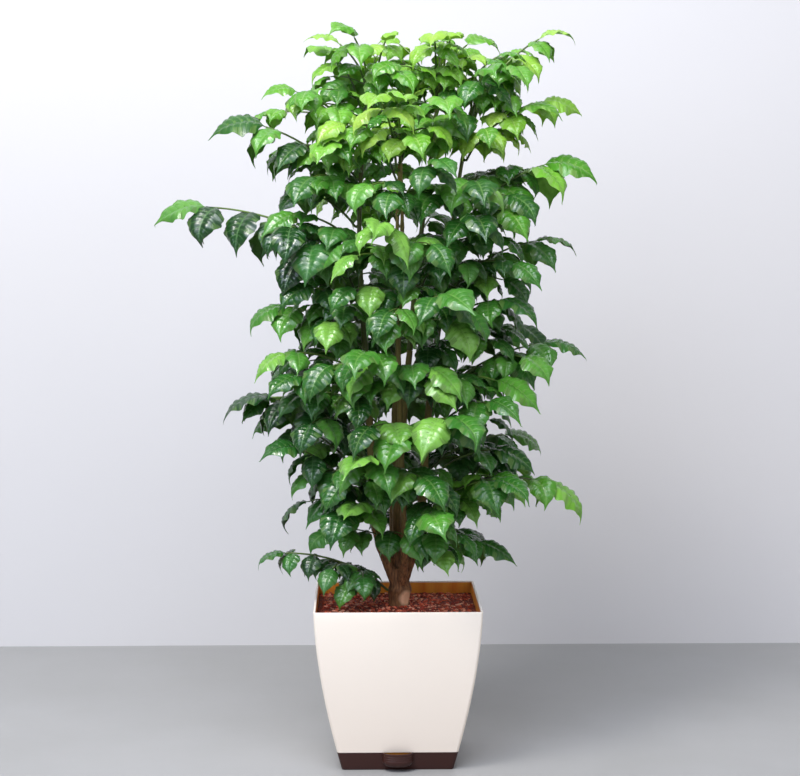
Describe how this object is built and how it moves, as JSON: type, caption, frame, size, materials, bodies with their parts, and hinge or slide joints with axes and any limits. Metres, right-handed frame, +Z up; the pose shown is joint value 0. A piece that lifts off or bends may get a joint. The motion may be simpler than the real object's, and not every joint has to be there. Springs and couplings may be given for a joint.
{
  "type": "potted china doll plant",
  "caption": "Bushy evergreen with doubly divided glossy leaves, growing in a square tapered plastic planter on a tray with a pour lip.",
  "frame": {"origin": "middle of the tray's flat underside, on the floor", "axes": "+Z up, front with the pour lip towards -Y, +X to the right seen from the front"},
  "size_m": [0.5335, 0.4287, 0.8885],
  "materials": {
    "pot": "cream moulded polypropylene, satin",
    "tray": "dark brown moulded polypropylene, satin",
    "soil": "moist bark and coir potting mix",
    "bark": "thin grey-brown bark",
    "green_stem": "smooth green stem",
    "leaf_young": "waxy yellow-green leaf",
    "leaf_fresh": "waxy light green leaf",
    "leaf_mature": "glossy green leaf",
    "leaf_old": "glossy dark green leaf"
  },
  "bodies": {
    "root": {"pot": "pot", "tray": "tray", "soil": "soil", "trunk": "bark", "shoot_a": "green_stem", "shoot_b": "green_stem", "shoot_c": "green_stem", "frond_01": "leaf_old", "frond_02": "leaf_mature", "frond_03": "leaf_old", "frond_04": "leaf_mature", "frond_05": "leaf_old", "frond_06": "leaf_mature", "frond_07": "leaf_mature", "frond_08": "leaf_mature", "frond_09": "leaf_mature", "frond_10": "leaf_old", "frond_11": "leaf_mature", "frond_12": "leaf_fresh", "frond_13": "leaf_fresh", "frond_14": "leaf_fresh", "frond_15": "leaf_fresh", "frond_16": "leaf_mature", "frond_17": "leaf_old", "frond_18": "leaf_mature", "frond_19": "leaf_fresh", "frond_20": "leaf_old", "frond_21": "leaf_mature", "frond_22": "leaf_mature", "frond_23": "leaf_mature", "frond_24": "leaf_mature", "frond_25": "leaf_mature", "frond_26": "leaf_mature", "frond_27": "leaf_mature", "frond_28": "leaf_mature", "frond_29": "leaf_fresh", "frond_30": "leaf_mature", "frond_31": "leaf_mature", "frond_32": "leaf_young", "frond_33": "leaf_mature", "frond_34": "leaf_fresh", "frond_35": "leaf_mature", "frond_36": "leaf_mature", "frond_37": "leaf_mature", "frond_38": "leaf_mature", "frond_39": "leaf_mature", "frond_40": "leaf_mature", "frond_41": "leaf_mature", "frond_42": "leaf_young", "frond_43": "leaf_young", "frond_44": "leaf_old", "frond_45": "leaf_old", "frond_46": "leaf_mature", "frond_47": "leaf_mature", "frond_48": "leaf_mature", "frond_49": "leaf_fresh", "frond_50": "leaf_fresh", "frond_51": "leaf_young", "frond_52": "leaf_young", "frond_53": "leaf_fresh"}
  },
  "joints": []
}
